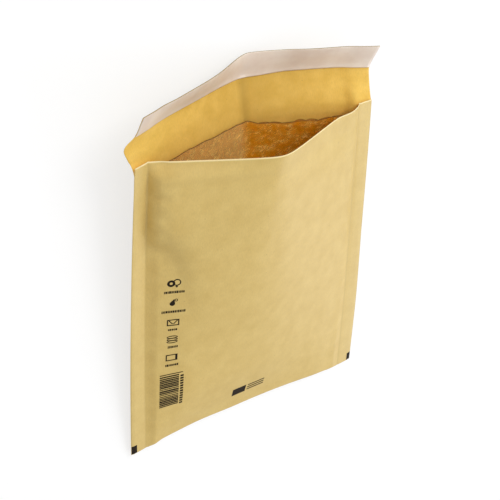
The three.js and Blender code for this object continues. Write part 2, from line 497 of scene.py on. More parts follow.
def keel_crease(s, q):
    """A sharp line down the back panel's keel: the paper beside it is drawn in."""
    away = np.abs(s - BACK_KEEL)
    beside = bell(away, 32 * MM) - np.exp(-away / (7 * MM))
    return beside * smooth(q, 120 * MM, 220 * MM) * (1 - 0.8 * smooth(q, BACK_EDGE, DEPTH + 15 * MM))


# %% [markdown]
# The mouth and the flap are free paper, so they bend more. These forms were matched to the photograph's
# outline one at a time, each against the place where the outline strayed.

# %% Forms of the mouth and the flap
FLAP_BOW, FLAP_RIDGE, FLAP_LIFT = 5.4, 1.7, 0.8  # the flap's bends, in mm
KEEL_RIDGE, KEEL_DIP = 1.6, 1.8
TIP_ROLL, TIP_SWELL = 3.4, 0.8
TIP_LEFT, TIP_RIGHT = 2.6, 2


def seam_hump(s, q):
    """The mouth's edge swings out in front of the right seam. In the seam, both layers do."""
    broad = bell(s - 97 * MM, 14 * MM) * fade(s, 108 * MM, HALF)
    narrow = bell(s - 86 * MM, 10 * MM) * smooth(np.abs(q), 215 * MM, DEPTH)
    hump = broad + 0.7 * narrow
    layer = np.where(q > 0, -smooth(s, PAD_HALF - 10 * MM, PAD_HALF), 1)
    return hump * layer * smooth(np.abs(q), 190 * MM, DEPTH) * fade(q, DEPTH, SCORE)


def droop(s, q):
    """The right seam hangs, most of all at the mouth."""
    reach = mix(0.3, 1, np.minimum(np.abs(q) / DEPTH, 1))
    start = PAD_HALF + 2 * MM
    ramp = soft_ramp(s, start, 3 * MM) - soft_ramp(PAD_HALF, start, 3 * MM)
    return np.maximum(0, ramp) / (SEAM - 2 * MM) * reach * fade(q, DEPTH, SCORE)


def flap_wave(s, q):
    """A bow at the right, a dip at the keel, a ridge under the strip and a rolled corner, in mm."""
    at_score = bell(q - SCORE, 14 * MM)
    on_strip = smooth(q, SCORE, FLAP_END)
    at_keel = bell(s - 5 * MM, 24 * MM)
    right = smooth(s, 14 * MM, 50 * MM) * (1 - 0.5 * smooth(s, 88 * MM, HALF))
    bow = FLAP_BOW * right * smooth(q, 262 * MM, 298 * MM)
    ridge = FLAP_RIDGE * at_score * fade(s, -30 * MM, 5 * MM) * smooth(s, -HALF, -80 * MM)
    keel = at_keel * (KEEL_RIDGE * at_score - KEEL_DIP * on_strip)
    tip = TIP_ROLL * bell(q - DEPTH - 2 * MM, 6 * MM) + TIP_SWELL * bell(q - DEPTH - 12 * MM, 10 * MM)
    corner = tip * smooth(-s, 92 * MM, HALF)
    lifted = FLAP_LIFT * smooth(-s, 80 * MM, 100 * MM) * on_strip
    return (bow * (1 - 0.3 * on_strip) + ridge + keel + corner + lifted) * (q > 0)


def tip_turn(s, q):
    """The flap's round left tip sits high: it goes left below the strip and right under that."""
    high = bell(q - DEPTH - 21.5 * MM, 5 * MM)
    low = bell(q - DEPTH - 11 * MM, 5 * MM)
    return (TIP_RIGHT * low - TIP_LEFT * high) * smooth(-s, HALF - 26 * MM, HALF)


# %% [markdown]
# The heights are added up here and applied along a direction taken over 3 mm of the sheet, because along
# the exact normal two neighbouring columns would cross at a sharp fold and leave a pleat. The seam's
# droop and the turn of the flap's tip aren't heights: they move the paper down and sideways.

# %% All forms together
RAISED = {
    shoulder: 5 * MM,
    gathered: 1.6 * MM,
    steep_flank: 8.5 * MM,
    seam_hump: 3.2 * MM,
    flap_wave: MM,
}
DRAWN_IN = {keel_crease: 2.2 * MM, soft_flank: 1.1 * MM, bottom_corner: 1.8 * MM}
DIMPLE = 0.09 * MM
SWELL = 0.3 * MM
RIPPLE = 0.35 * MM
SEAM_GROOVE = 0.16 * MM
EDGE_STEP = 0.3 * MM  # where the film ends under the paper
DROOP = np.array([1.7, 0, -4.2]) * MM
BOTTOM_WIDENING = 1.8 * MM
EXACT = 0.05 * MM  # how far a direction reaches along the sheet
EVEN = 3 * MM
FLOOR_GAP = 0.02 * MM


def relief(s, q):
    """How far the paper stands out, in metres."""
    along = np.abs(q)
    edge = np.where(q > 0, BACK_EDGE, FRONT_EDGE)
    on_film = padded(s) * fade(along, edge - 6 * MM, edge + 4 * MM) * smooth(along, 4 * MM, 14 * MM)
    uneven = 0.6 + 0.9 * cloud(s, q, (45, 45), 1)
    dimples = DIMPLE * bubble_print(s, q) * np.clip(uneven, 0, 1.2) * on_film
    swell = SWELL * cloud(s, q, (60, 75), 2) * padded(s)
    ripple = RIPPLE * cloud(s, q, (38, 26), 5) * smooth(along, edge, edge + 12 * MM)
    raised = sum(height * form(s, q) for form, height in RAISED.items())
    drawn_in = sum(height * form(s, q) for form, height in DRAWN_IN.items())
    closed = (SEAM_HALF - 0.09 * MM) * smooth(np.abs(s), HALF - 2.4 * MM, HALF - 1 * MM) * (along < DEPTH)
    step = EDGE_STEP * smooth(along, edge - 1.5 * MM, edge + 2.5 * MM) * padded(s)
    return dimples + swell + ripple + raised - drawn_in - (closed + SEAM_GROOVE * seam_line(s, q) + step)


def inward_at(s, q, reach):
    """The direction into the envelope, taken over the given reach across the sheet."""
    across = paper_at(s + reach, q) - paper_at(s - reach, q)
    along = paper_at(s, q + EXACT) - paper_at(s, q - EXACT)
    inward = np.cross(across, along)
    return inward / np.linalg.norm(inward, axis=-1, keepdims=True) @ LIE_TURN.T


def place_at(s, q, depth):
    """A point at the given depth inside the middle of the paper, where the envelope lies."""
    middle = paper_at(s, q) @ LIE_TURN.T + LIE_SHIFT
    in_seam = np.clip((s - PAD_HALF) / SEAM, 0, 1)
    middle[..., 0] += BOTTOM_WIDENING * in_seam * fade(np.abs(q), 60 * MM, 160 * MM)
    middle += droop(s, q)[..., None] * DROOP
    middle[..., 0] += tip_turn(s, q) * MM
    middle -= inward_at(s, q, EVEN) * relief(s, q)[..., None]
    inward = inward_at(s, q, EXACT)
    outer = middle - inward * PAPER / 2
    middle[..., 2] += np.maximum(0, FLOOR_GAP - outer[..., 2])  # nothing goes through the floor
    return middle + inward * depth[..., None]


mouth_edge = place_at(np.linspace(-HALF, HALF, 5), np.full(5, -DEPTH), np.zeros(5))
print("the mouth's edge, in mm:", np.round(mouth_edge / MM).tolist())

# %% [markdown]
# ## From a flat grid to a bent sheet
#
# `create_grid` makes the flat sheet. Its rows and columns are then spaced by listed stations, so
# that a column runs along each seam and the bottom fold gets a dense set of rows. The flat place of each
# vertex is kept as a UV map, which lets paper fibres and creases follow the sheet.

# %% Grids, stations and UVs
def stations(marks, counts):
    """Marks with even steps between them: counts[i] steps between marks i and i + 1."""
    runs = [np.linspace(a, b, n, endpoint=False) for a, b, n in zip(marks, marks[1:], counts)]
    return np.append(np.concatenate(runs), marks[-1])


def write_blank_uv(bm):
    """Keeps each corner's flat place as a UV, in units of the whole blank."""
    uv = bm.loops.layers.uv.new("blank")
    for face in bm.faces:
        for loop in face.loops:
            x, y, _ = loop.vert.co
            loop[uv].uv = (x / WIDTH + 0.5, (y + DEPTH) / (DEPTH + FLAP_END))


def flat_sheet(name, across, along):
    """A grid mesh with the given columns and rows."""
    bm = bmesh.new()
    bmesh.ops.create_grid(bm, x_segments=len(across) - 1, y_segments=len(along) - 1, size=1)
    for vert in bm.verts:
        i = round((vert.co.x + 1) / 2 * (len(across) - 1))
        j = round((vert.co.y + 1) / 2 * (len(along) - 1))
        vert.co = (across[i], along[j], 0)
    for face in bm.faces:
        face.smooth = True
    write_blank_uv(bm)
    return mesh_from(bm, name)


def flat_places(mesh):
    """The vertices' flat coordinates, as two arrays."""
    flat = np.empty(3 * len(mesh.vertices))
    mesh.vertices.foreach_get("co", flat)
    flat = flat.reshape(-1, 3)
    return flat[:, 0], flat[:, 1]


def bend(mesh, depth):
    """Bends a flat mesh to the given depth inside the paper, an even one or one for each vertex."""
    s, q = flat_places(mesh)
    bent = place_at(s, q, np.broadcast_to(depth, s.shape))
    mesh.vertices.foreach_set("co", bent.astype(np.float32).ravel())
    mesh.update()


def flip(mesh):
    """Turns a sheet's faces to look out of the envelope instead of into it."""
    bm = bmesh.new()
    bm.from_mesh(mesh)
    bmesh.ops.reverse_faces(bm, faces=bm.faces)
    bm.to_mesh(mesh)
    bm.free()


def make_object(mesh, materials, node=None):
    """Links a mesh as a piece that rides on the root, and puts it in the place of its CAD node."""
    made = bpy.data.objects.new(mesh.name, mesh)
    scene.collection.objects.link(made)
    for material in materials:
        mesh.materials.append(material)
    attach(made, "root")
    if node:
        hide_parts(node)
    return made


def report(made):
    evaluated = made.evaluated_get(bpy.context.evaluated_depsgraph_get())
    mesh = evaluated.to_mesh()
    mesh.calc_loop_triangles()
    size = [round(x / MM, 1) for x in evaluated.dimensions]
    print(f"{made.name}: {len(mesh.loop_triangles)} triangles, {size} mm")
    evaluated.to_mesh_clear()


def thicken(made, thickness, inner_material=0):
    """Gives a sheet its thickness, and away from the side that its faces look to."""
    solid = made.modifiers.new("thickness", "SOLIDIFY")
    solid.thickness = thickness
    solid.offset = -1
    solid.material_offset = inner_material
    report(made)
    return made


# %% [markdown]
# ## Kraft paper
#
# Unbleached kraft is a mat of long brown fibres. From near, it has short darker and lighter hairs, a
# cloudy look where the mat is thicker or thinner, and a few specks of bark. From far it is an even tan.
# The effect is a shader group, because the outside, the inside and the release liner all use it.

# %% Fibres as a shader group
def srgb(red, green, blue):
    """A colour as it is seen, 0 to 255, turned into the linear values that shaders take."""
    seen = [c / 255 for c in (red, green, blue)]
    return tuple(c / 12.92 if c <= 0.04045 else ((c + 0.055) / 1.055) ** 2.4 for c in seen) + (1.0,)


def blank_coordinates(tree):
    """The sheet's flat place, in metres."""
    uv = add(tree, "ShaderNodeUVMap", uv_map="blank")
    metres = (WIDTH, DEPTH + FLAP_END, 1)
    return add(tree, "ShaderNodeMapping", {"Vector": uv.outputs[0], "Scale": metres}).outputs[0]


def new_group(name, outputs):
    """A shader group that takes a place on the blank and gives values."""
    group = bpy.data.node_groups.new(name, "ShaderNodeTree")
    group.interface.new_socket("Vector", in_out="INPUT", socket_type="NodeSocketVector")
    for output in outputs:
        group.interface.new_socket(output, in_out="OUTPUT", socket_type="NodeSocketFloat")
    return group, add(group, "NodeGroupInput")


def noise_at(tree, place, scale, detail, roughness=0.5, distortion=0.0):
    node = add(tree, "ShaderNodeTexNoise", {"Vector": place, "Scale": scale, "Detail": detail})
    node.inputs["Roughness"].default_value = roughness
    node.inputs["Distortion"].default_value = distortion
    return node.outputs[0]


def make_fibres():
    group, given = new_group("paper_fibres", ("Cloud", "Fibre", "Speck", "Height"))
    group.interface.new_socket("Cloud Scale", in_out="INPUT", socket_type="NodeSocketFloat")
    place = given.outputs["Vector"]
    clouds = noise_at(group, place, given.outputs["Cloud Scale"], 4.0, roughness=0.55)
    hairs = []
    for turn, per_metre in ((0, (1700, 420, 1)), (0.9, (1500, 380, 1))):
        inputs = {"Vector": place, "Rotation": (0, 0, turn), "Scale": per_metre}
        lain = add(group, "ShaderNodeMapping", inputs)
        hairs.append(noise_at(group, lain.outputs[0], 1.0, 3.0, distortion=0.6))
    fibre = maths(group, "MINIMUM", *hairs)
    cells = add(group, "ShaderNodeTexVoronoi", {"Vector": place, "Scale": 260.0})
    speck = ranged(group, cells.outputs["Distance"], 0.05, 0.12, 1.0, 0.0)
    rare = maths(group, "GREATER_THAN", cells.outputs["Color"], 0.82)
    results = {
        "Cloud": clouds,
        "Fibre": fibre,
        "Speck": maths(group, "MULTIPLY", speck, rare),
        "Height": maths(group, "ADD", fibre, clouds),
    }
    add(group, "NodeGroupOutput", results)
    return group


FIBRES = make_fibres()
print("the fibres give:", [item.name for item in FIBRES.interface.items_tree if item.in_out == "OUTPUT"])


# %% Colours, bumps and surfaces
def blend(tree, amount, first, second):
    """The Mix node's colour sockets are those with index 6, 7 and 2."""
    return add(tree, "ShaderNodeMix", {0: amount, 6: first, 7: second}, data_type="RGBA").outputs[2]


def darker(colour, share):
    return tuple(share * c for c in colour[:3]) + (1.0,)


def add_fibres(tree, cloud_scale):
    """The fibre group on the sheet's own coordinates."""
    inputs = {"Vector": blank_coordinates(tree), "Cloud Scale": cloud_scale}
    return add(tree, "ShaderNodeGroup", inputs, node_tree=FIBRES).outputs


def bumped(tree, strength, distance, height):
    inputs = {"Strength": strength, "Distance": distance, "Height": height}
    return add(tree, "ShaderNodeBump", inputs).outputs[0]


def surface(tree, inputs):
    shader = add(tree, "ShaderNodeBsdfPrincipled", inputs)
    add(tree, "ShaderNodeOutputMaterial", {"Surface": shader.outputs[0]})


def near_line(tree, value, place, reach):
    """1 on a line across the blank's coordinate, falling to 0 at the given reach."""
    away = maths(tree, "ABSOLUTE", maths(tree, "SUBTRACT", value, place))
    return ranged(tree, away, 0, reach, 1, 0)


# %% [markdown]
# The outside is a plain tan, made paler in the seams by painted light, with painted shade lines at
# their edges. The inside is more golden, partly painted bounce light, and it has painted shade along
# the keel. Both show a painted highlight along the cut at the mouth and a painted shade line along the
# flap's free edge.

# %% Paper, outside and inside
KRAFT_TAN = srgb(216, 188, 114), srgb(207, 177, 102)
# the inside's tones: the paper's own colour, made more golden by painted bounce light from the pouch
KRAFT_GOLD_AND_BOUNCE = srgb(243, 201, 98), srgb(227, 182, 76)
BARK = srgb(120, 84, 44)
# painted light: the seams' paler colour
SEAM_PAINTED_LIGHT = srgb(226, 206, 150)
# painted highlight along the cut at the mouth
MOUTH_EDGE_HIGHLIGHT = srgb(252, 236, 184)
# painted shade along the flap's free edge
FLAP_EDGE_SHADE = srgb(150, 138, 100)
EDGE_REACH = 1.5 * MM


def fibrous(tree, fibres, light, dark):
    """The paper's own colour: clouds of two tones, dark hairs and a few specks."""
    cloudy = blend(tree, ranged(tree, fibres["Cloud"], 0.3, 0.7), dark, light)
    hair = ranged(tree, fibres["Fibre"], 0.3, 0.55, 0.22, 0.0)
    haired = blend(tree, hair, cloudy, darker(dark, 0.6))
    return blend(tree, ranged(tree, fibres["Speck"], 0, 1, 0, 0.5), haired, BARK)


def with_painted_seams(tree, across, fibres, colour, dark, share):
    """Painted shade: a broken dark line at each seam's edge. Painted light: paler paper in the seam."""
    # painted shade: a dark line at the seam's edge, broken by the clouds
    line = maths(tree, "MULTIPLY", near_line(tree, across, PAD_HALF, 1.6 * MM), fibres["Cloud"])
    shade_lined = blend(tree, ranged(tree, line, 0, 1, 0, share), colour, darker(dark, 0.6))
    # painted light: the seam is painted paler than the paper
    seam_lightened = ranged(tree, across, PAD_HALF - 0.5 * MM, PAD_HALF + 1 * MM, 0, 0.28 * share)
    return blend(tree, seam_lightened, shade_lined, SEAM_PAINTED_LIGHT)


def with_keel_shade(tree, s_place, colour, dark, share):
    """Painted shade along the keel: a wide band, and a narrow one on the fold."""
    # painted shade: a wide band beside the keel and a narrow line on its fold
    wide = near_line(tree, s_place, HALF + BACK_KEEL + 12 * MM, 75 * MM)
    fold = near_line(tree, s_place, HALF + BACK_KEEL, 7 * MM)
    keel_shade = ranged(tree, maths(tree, "ADD", wide, fold), 0, 2, 0, share)
    return blend(tree, keel_shade, colour, darker(dark, 0.62))


def with_painted_edges(tree, q_place, colour):
    # painted highlight along the mouth's cut, then painted shade along the flap's free edge
    mouth = ranged(tree, near_line(tree, q_place, 0, EDGE_REACH), 0, 0.6, 0, 0.8)
    pale = blend(tree, mouth, colour, MOUTH_EDGE_HIGHLIGHT)
    flap_shade_mask = ranged(tree, near_line(tree, q_place, DEPTH + FLAP_END, EDGE_REACH), 0, 0.6, 0, 0.85)
    return blend(tree, flap_shade_mask, pale, FLAP_EDGE_SHADE)


def make_kraft(name, tones, roughness, seam_share, keel_share):
    """Kraft with two tones, painted light and shade at its cut edges and, by the given shares, painted
    light and shade at the seams and painted shade along the keel.
    """
    material, tree = new_material(name)
    fibres = add_fibres(tree, 70)
    light, dark = tones
    flat = add(tree, "ShaderNodeSeparateXYZ", {0: blank_coordinates(tree)}).outputs
    across = maths(tree, "ABSOLUTE", maths(tree, "SUBTRACT", flat[0], HALF))
    colour = fibrous(tree, fibres, light, dark)
    colour = with_painted_seams(tree, across, fibres, colour, dark, seam_share)
    colour = with_keel_shade(tree, flat[0], colour, dark, keel_share)
    finish = {
        "Base Color": with_painted_edges(tree, flat[1], colour),
        "Roughness": ranged(tree, fibres["Fibre"], 0.3, 0.6, roughness - 0.06, roughness + 0.06),
        "Normal": bumped(tree, 0.35, 0.1 * MM, fibres["Height"]),
    }
    surface(tree, finish)
    return material


kraft_outside = make_kraft("kraft_outside", KRAFT_TAN, 0.57, 0.45, 0.0)
kraft_inside = make_kraft("kraft_inside", KRAFT_GOLD_AND_BOUNCE, 0.8, 0.0, 0.75)
print("paper materials:", kraft_outside.name, kraft_inside.name)

# %% [markdown]
# ## The folded blank
#
# One grid makes the front panel, the bottom fold, the back panel and the flap, as one piece of paper
# does. Solidify then gives it its thickness, and gives the inner side its own material, more golden with
# painted bounce light.

# %% Kraft envelope
ACROSS_MARKS = [-HALF, -PAD_HALF, -PAD_HALF + PADDED_EDGE, PAD_HALF - PADDED_EDGE, PAD_HALF, HALF]
FOLD_ROWS = 14 * MM


def make_paper():
    across = stations(ACROSS_MARKS, [10, 14, 100, 14, 10])
    along = stations(
        [-DEPTH, -FOLD_ROWS, FOLD_ROWS, DEPTH, SCORE - STRIP_BEND, SCORE + STRIP_BEND, FLAP_END],
        [124, 26, 124, 12, 8, 10],
    )
    mesh = flat_sheet("kraft_paper", across, along)
    bend(mesh, -PAPER / 2)
    flip(mesh)
    made = make_object(mesh, [kraft_outside, kraft_inside], "kraft_envelope")
    return thicken(made, PAPER, inner_material=1)


paper = make_paper()

# %% [markdown]
# ## Bubble film
#
# The lining is two films: a flat web that faces the inside, and behind it a second film that is drawn
# into domes and welded to the web between them. Each row of domes is half a pitch off the last. The grid
# of the domed film has six cells to the pitch, so every bubble is cut the same way. In the seams all of
# it is crushed flat, and here and there a bubble has lost its air. A displacement texture could raise the
# domes as well, but a height worked out for each vertex keeps them exactly on the rows.

# %% Heights of the two films
BUBBLE_RADIUS = 4.7 * MM
FILM_SKIN = 0.03 * MM


def film_thickness(s):
    """Full over the padding and crushed in the seams."""
    return CRUSHED + (FILM - CRUSHED) * padded(s)


def nearest_bubble(s, q):
    """How far the nearest bubble's middle is, and where it is."""
    best = np.full(s.shape, np.inf)
    middle_s = np.zeros(s.shape)
    middle_q = np.zeros(s.shape)
    for offset in (-1, 0, 1):
        row = np.round(q / ROW_PITCH) + offset
        start = (row % 2) * BUBBLE_PITCH / 2
        centre_s = np.round((s - start) / BUBBLE_PITCH) * BUBBLE_PITCH + start
        centre_q = row * ROW_PITCH
        distance = np.hypot(s - centre_s, q - centre_q)
        closer = distance < best
        best = np.where(closer, distance, best)
        middle_s = np.where(closer, centre_s, middle_s)
        middle_q = np.where(closer, centre_q, middle_q)
    return best, middle_s, middle_q


def dome(s, q):
    """0 at the weld and up to 1 at a bubble's top."""
    distance, middle_s, middle_q = nearest_bubble(s, q)
    fullness = np.clip(0.85 + 0.9 * cloud(middle_s, middle_q, (13, 13), 8), 0.3, 1)
    dent = 1 + 0.2 * cloud(s, q, (5, 5), 9)
    round_top = np.sqrt(np.clip(1 - (distance / BUBBLE_RADIUS) ** 2, 0, 1)) ** 0.8
    kept = 0.5 + 2.5 * cloud(middle_s, middle_q, (11, 11), 31)
    kept = np.clip(kept, 0, 1) * (s > BACK_KEEL)
    rim = smooth(middle_q, BACK_EDGE - 9 * MM, BACK_EDGE - 5 * MM)
    return np.clip(round_top * fullness * dent * (1 - 0.85 * rim * (1 - kept)), 0, 1)


def slack(s, q):
    """Slackness of the web: it sinks over each bubble and is drawn into small creases between them."""
    creases = 1 - np.abs(cloud(s, q, (11, 5), 10)) * 2.2
    puckers = 1 - np.abs(cloud(s, q, (5, 9), 12)) * 2.2
    return 0.45 * MM * (creases * puckers - 0.4) + 0.25 * MM * bubble_print(s, q)


# %% [markdown]
# Film shows what is behind it, so inside the envelope it takes on the kraft's amber. It is most opaque
# where it is creased, and it shines there, with a painted highlight in the creases' colour as well. Left
# of the keel it has a milky haze with a painted reflection in it, and its cut edge has a painted shade
# line. The pattern of creases is a shader group of its own.

# %% Film material
def make_creases():
    group, given = new_group("film_creases", ("Crease", "Cloud", "Height"))
    place = given.outputs["Vector"]
    inputs = {"Vector": place, "Rotation": (0, 0, 0.5), "Scale": (8 * MM, 1.8 * MM, 1)}
    stretched = add(group, "ShaderNodeMapping", inputs, vector_type="TEXTURE")
    wrinkles = noise_at(group, stretched.outputs[0], 1.0, 1.0, roughness=0.4, distortion=0.9)
    sharp = maths(group, "ABSOLUTE", maths(group, "SUBTRACT", wrinkles, 0.5))
    line = ranged(group, sharp, 0.008, 0.036, 1.0, 0.0)
    clouds = noise_at(group, place, 150.0, 2.0)
    crease = maths(group, "MULTIPLY", line, ranged(group, clouds, 0.46, 0.6))
    add(group, "NodeGroupOutput", {"Crease": crease, "Cloud": clouds, "Height": wrinkles})
    return group


CREASES = make_creases()
# left of the keel: a milky haze in the film, with a painted grazing reflection in it
HAZE_AND_REFLECTION = srgb(244, 212, 140)  # left of the keel, where the film is stretched and milky
# painted highlight: the creases' glints painted into the film's colour
CREASE_HIGHLIGHT = srgb(255, 214, 124)
# painted shade: the dark line along the film's cut edge, where the gap to the paper lies in shadow
FILM_EDGE_SHADE = srgb(96, 52, 6)


def make_film_material(name, clear, milky, bump_depth):
    material, tree = new_material(name)
    blank = blank_coordinates(tree)
    creases = add(tree, "ShaderNodeGroup", {"Vector": blank}, node_tree=CREASES).outputs
    flat = add(tree, "ShaderNodeSeparateXYZ", {0: blank}).outputs
    keel = HALF + BACK_KEEL
    # left of the keel: milky haze and painted reflection
    left = ranged(tree, flat[0], keel - 8 * MM, keel + 2 * MM, 0.55, 0)
    # painted shade along the film's cut edge, which is also made more opaque and rougher there
    shaded_edge = near_line(tree, flat[1], DEPTH + BACK_EDGE, 1.4 * MM)
    colour = blend(tree, ranged(tree, creases["Cloud"], 0.35, 0.65), clear, milky)
    colour = blend(tree, left, colour, HAZE_AND_REFLECTION)
    # painted highlight on the creases
    colour = blend(tree, creases["Crease"], colour, CREASE_HIGHLIGHT)
    shine = ranged(tree, creases["Cloud"], 0.3, 0.7, 0.14, 0.26)
    opaque = maths(tree, "MAXIMUM", creases["Crease"], shaded_edge)
    finish = {
        "Base Color": blend(tree, shaded_edge, colour, FILM_EDGE_SHADE),
        "Roughness": maths(tree, "ADD", shine, shaded_edge),
        "Alpha": ranged(tree, opaque, 0, 1, 0.4, 0.8),
        "Normal": bumped(tree, 0.6, bump_depth, creases["Height"]),
    }
    surface(tree, finish)
    return material


WEB_COLOURS = srgb(248, 164, 14), srgb(248, 184, 62)
BUBBLE_COLOURS = srgb(242, 160, 30), srgb(242, 176, 70)
web_film = make_film_material("film_web", *WEB_COLOURS, 0.5 * MM)
bubble_film = make_film_material("film_bubbles", *BUBBLE_COLOURS, 0.3 * MM)
print("film materials:", web_film.name, bubble_film.name)

# %% Web and bubbles
LINING_HALF = HALF - 3 * MM


def cut_edge(s, q):
    """How far the film's edge on the back panel strays from a straight cut."""
    at_keel = 2.2 * MM * np.exp(-np.abs(s - BACK_KEEL) / (12 * MM))
    right = -2.4 * MM * smooth(s, BACK_KEEL, BACK_KEEL + 40 * MM) * fade(s, 70 * MM, 100 * MM)
    left = 1.6 * MM * fade(s, -10 * MM, BACK_KEEL) * smooth(s, -PAD_HALF, -85 * MM)
    ragged = 1.4 * MM * cloud(s, q * 0, (13, 1), 21) * padded(s)
    return (at_keel + right + left + ragged) * smooth(q, BACK_EDGE - 28 * MM, BACK_EDGE)


def edge_sag(s, q):
    """Left of the keel, the film's cut edge lies nearer to the paper."""
    return 1 - 0.55 * smooth(q, BACK_EDGE - 16 * MM, BACK_EDGE) * fade(s, -5 * MM, BACK_KEEL)


def lining_rows(cells):
    """Rows with the given number of cells to each row of bubbles."""
    row = ROW_PITCH / cells
    inner = np.arange(math.ceil(-FRONT_EDGE / row), math.floor(BACK_EDGE / row) + 1) * row
    return np.concatenate([[-FRONT_EDGE], inner, [BACK_EDGE]])


def lining_columns(padding):
    """The padding's columns, and in each seam those of the paper."""
    seam = np.append(PAD_HALF + SEAM / 10 * np.arange(1, 8), LINING_HALF)
    return np.concatenate([-seam[::-1], padding, seam])


def stray(mesh):
    """Moves the flat film's verts beside the cut edge."""
    s, q = flat_places(mesh)
    strayed = np.stack([s, q + cut_edge(s, q), 0 * s], -1)
    mesh.vertices.foreach_set("co", strayed.astype(np.float32).ravel())


def make_web():
    padding = stations(ACROSS_MARKS[1:-1], [14, 100, 14])
    mesh = flat_sheet("film_web", lining_columns(padding), lining_rows(4))
    s, q = flat_places(mesh)
    loose = padded(s) * fade(np.abs(q), BACK_EDGE - 4 * MM, BACK_EDGE)
    stray(mesh)
    bend(mesh, WALL + film_thickness(s) * edge_sag(s, q) + slack(s, q) * loose)
    made = make_object(mesh, [web_film], "bubble_lining")
    return thicken(made, FILM_SKIN)


def make_bubbles():
    cell = BUBBLE_PITCH / 6
    count = math.floor(PAD_HALF / cell)
    padding = np.concatenate([[-PAD_HALF], np.arange(-count, count + 1) * cell, [PAD_HALF]])
    mesh = flat_sheet("film_bubbles", lining_columns(padding), lining_rows(5))
    s, q = flat_places(mesh)
    depth = film_thickness(s) - 3 * FILM_SKIN
    stray(mesh)
    bend(mesh, WALL + FILM_SKIN + depth * (1 - dome(s, q)) * edge_sag(s, q))
    made = make_object(mesh, [bubble_film])
    return thicken(made, FILM_SKIN)


web = make_web()
bubbles = make_bubbles()

# %% [markdown]
# ## The closure
#
# The release liner is silicone-coated paper, a little see-through and pinkish, and it lies over a band of
# pale adhesive. Both are strips of the same bent blank, at their own depth above the flap.

# %% Adhesive and release liner
ADHESIVE_DEPTH = PAPER / 2 + 0.2 * MM
LINER_DEPTH = ADHESIVE_DEPTH + 0.3 * MM
LAYER = 0.1 * MM


def make_plain(name, light, dark, roughness, coat):
    """A thin pale layer with faint clouds and fibres."""
    material, tree = new_material(name)
    fibres = add_fibres(tree, 55)
    finish = {
        "Base Color": blend(tree, ranged(tree, fibres["Cloud"], 0.35, 0.65), dark, light),
        "Roughness": ranged(tree, fibres["Fibre"], 0.3, 0.6, roughness - 0.05, roughness + 0.05),
        "Normal": bumped(tree, 0.15, 0.1 * MM, fibres["Height"]),
        "Coat Weight": coat,
    }
    surface(tree, finish)
    return material


def make_strip(name, node, slot, material, start, end, depth):
    """A band across the whole blank, from one place along it to another."""
    across = stations(ACROSS_MARKS, [6, 8, 104, 8, 6])
    along = stations([start, end], [round((end - start) / (0.8 * MM))])
    mesh = flat_sheet(name, across, along)
    bend(mesh, depth + LAYER)
    made = make_object(mesh, [material], node)
    return thicken(made, LAYER)


PALE_GLUE = srgb(226, 214, 180), srgb(216, 200, 160)
PINKISH = srgb(241, 228, 213), srgb(232, 215, 199)
glue = make_plain("adhesive", *PALE_GLUE, 0.35, 0.3)
silicone = make_plain("release_liner", *PINKISH, 0.42, 0.15)
band = FLAP_END - ADHESIVE_MARGIN - ADHESIVE, FLAP_END - ADHESIVE_MARGIN
adhesive = make_strip("adhesive_band", "adhesive_strip", "adhesive", glue, *band, ADHESIVE_DEPTH)
strip = SCORE, FLAP_END
liner = make_strip("release_liner", "release_strip", "release_liner", silicone, *strip, LINER_DEPTH)

# %% [markdown]
# ## Print
#
# The envelope carries a column of small pictograms with rows of blocks under them, a stack of code bars,
# and a dark block with three thin bars. Ink could be a mask in the paper's material. Here each shape is
# drawn flat with bmesh, as a stamp would be cut, and bent a hair above the paper like everything else.

# %% Flat shapes for the stamps, in millimetres
INK_LIFT = 0.09 * MM
INK_THICKNESS = 0.04 * MM
INK_CELL = 2.5  # longest edge in mm, so that a long bar follows the curve


def moved(bm, verts, s, h, turn=0.0, tall=1.0):
    """Puts a shape's middle at s across and h above the bottom fold."""
    matrix = Matrix.Translation((s, h, 0)) @ Matrix.Rotation(turn, 4, "Z")
    bmesh.ops.transform(bm, matrix=matrix @ Matrix.Diagonal((1, tall, 1, 1)), verts=verts)


def ink_bar(bm, s, h, width, height, turn=0.0):
    made = bmesh.ops.create_grid(bm, x_segments=1, y_segments=1, size=0.5)["verts"]
    bmesh.ops.scale(bm, vec=(width, height, 1), verts=made)
    moved(bm, made, s, h, turn)


def ink_ring(bm, s, h, radius, line, tall=1.0):
    """A round line: a circle's edges, extruded and drawn in."""
    outer = bmesh.ops.create_circle(bm, cap_ends=False, segments=28, radius=radius)["verts"]
    edges = list(dict.fromkeys(edge for vert in outer for edge in vert.link_edges))
    made = bmesh.ops.extrude_edge_only(bm, edges=edges)["geom"]
    inner = [item for item in made if isinstance(item, bmesh.types.BMVert)]
    bmesh.ops.scale(bm, vec=(1 - line / radius, 1 - line / radius / tall, 1), verts=inner)
    moved(bm, outer + inner, s, h, tall=tall)


def ink_box(bm, s, h, width, height, line):
    """A box drawn with four bars."""
    for side in (-1, 1):
        ink_bar(bm, s, h + side * (height - line) / 2, width, line)
        ink_bar(bm, s + side * (width - line) / 2, h, line, height - 2 * line)


def ink_drop(bm, s, h, radius):
    """A disc whose upper verts are drawn up to a tip."""
    drop = bmesh.ops.create_circle(bm, cap_ends=True, segments=24, radius=radius)["verts"]
    for vert in drop:
        up = max(0, vert.co.y / radius)
        vert.co.x *= 1 - 0.75 * up**2
        vert.co.y += 1.1 * radius * up**2
    moved(bm, drop, s, h, -0.3)


def ink_blocks(bm, s, h, width, height, seed):
    """A row of small blocks of uneven width."""
    draw = random.Random(seed)
    right = s + width / 2
    left = s - width / 2
    while left < right:
        block = draw.choice((0.7, 1.0, 1.4))
        ink_bar(bm, left + block / 2, h, block, height * draw.uniform(0.85, 1))
        left += block + 0.35


